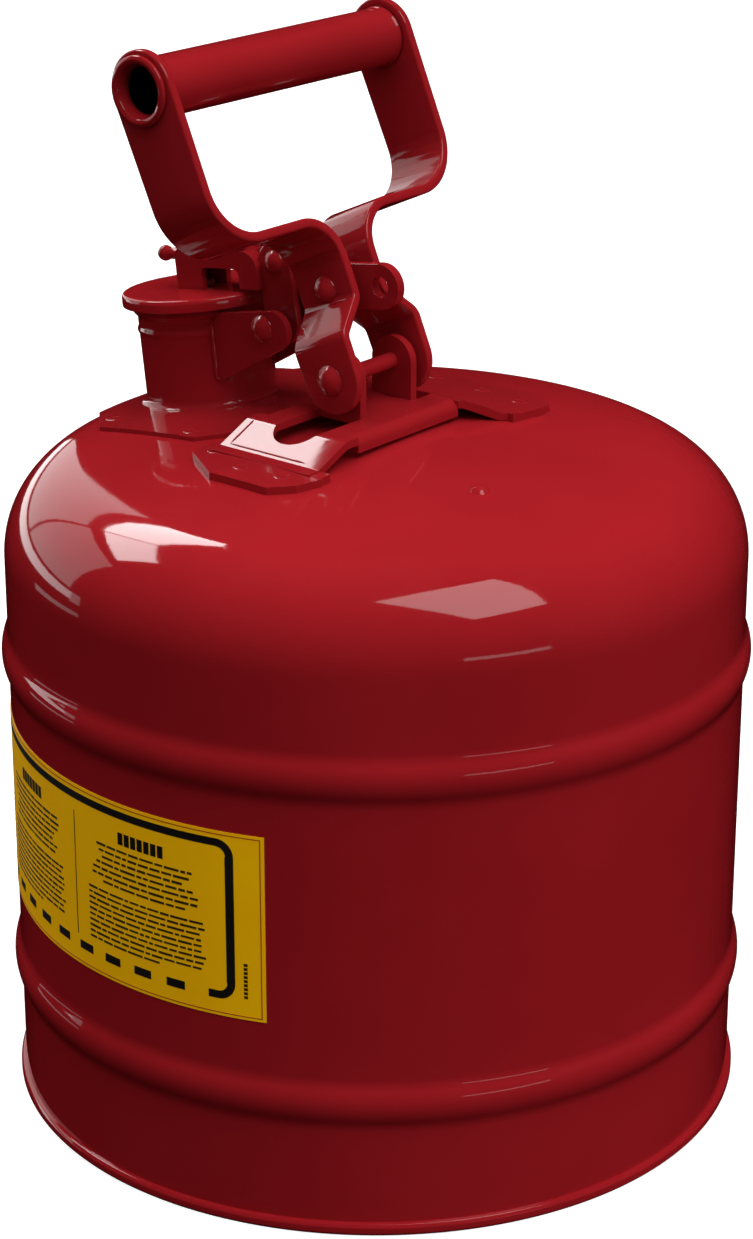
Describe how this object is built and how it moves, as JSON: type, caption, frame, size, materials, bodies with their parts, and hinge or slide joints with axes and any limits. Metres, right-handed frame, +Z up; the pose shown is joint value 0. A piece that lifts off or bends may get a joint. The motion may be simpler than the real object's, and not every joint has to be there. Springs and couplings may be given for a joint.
{
  "type": "safety gas can",
  "caption": "Round steel fuel safety can with ribbed body, domed top, short spout with self-closing cap, and a swing handle linked to the cap lever.",
  "frame": {"origin": "centre of the bottom rim's resting plane, on the body's axis", "axes": "+Z up along the body's axis; spout toward -X; handle and cap hinges turn about axes along Y"},
  "size_m": [0.2412, 0.2412, 0.3435],
  "materials": {
    "red_paint": "gloss powder coat",
    "spring_steel": "oiled spring wire",
    "bare_steel": "plain",
    "label_film": "printed film, satin",
    "seal_rubber": "matte"
  },
  "bodies": {
    "can": {"body_shell": "red_paint", "bottom_pan": "red_paint", "spout_neck": "red_paint", "spout_flange": "red_paint", "spout_ear_near": "red_paint", "spout_ear_far": "red_paint", "cap_hinge_pin": "red_paint", "closing_springs": "spring_steel", "flame_arrester": "bare_steel", "arrester_retainer": "spring_steel", "saddle_bracket": "red_paint", "handle_pivot_pin": "red_paint", "warning_label": "label_film"},
    "handle": {"handle_strap_near": "red_paint", "handle_strap_far": "red_paint", "grip_tube": "red_paint", "handle_link_pin": "red_paint", "link_spacers": "red_paint"},
    "link": {"link_plate": "red_paint"},
    "cap_arm": {"cap_lever": "red_paint", "lever_plate_near": "red_paint", "lever_plate_far": "red_paint", "lever_link_pin": "red_paint", "nose_rivet": "red_paint", "cap_disc": "red_paint", "cap_gasket": "seal_rubber", "gasket_retainer": "bare_steel", "cap_stud": "bare_steel"}
  },
  "joints": [
    {"name": "handle_swing", "type": "hinge", "parent": "can", "child": "handle", "pos_m": [-0.003, 0, 0.24], "axis": [0, 1, 0], "range_deg": [0, 38]},
    {"name": "link_pivot", "type": "hinge", "parent": "handle", "child": "link", "pos_m": [-0.01415, 0, 0.26481], "axis": [0, 1, 0], "range_deg": [-51, 0]},
    {"name": "cap_hinge", "type": "hinge", "parent": "can", "child": "cap_arm", "pos_m": [-0.03551, 0, 0.24961], "axis": [0, 1, 0], "range_deg": [0, 48], "stiffness_Nm_per_rad": 0.6, "springref_deg": -91.67}
  ],
  "couplings": [
    {"joint": "cap_hinge", "follows": "handle_swing", "ratio": 1.251},
    {"joint": "link_pivot", "follows": "handle_swing", "ratio": -1.336}
  ]
}
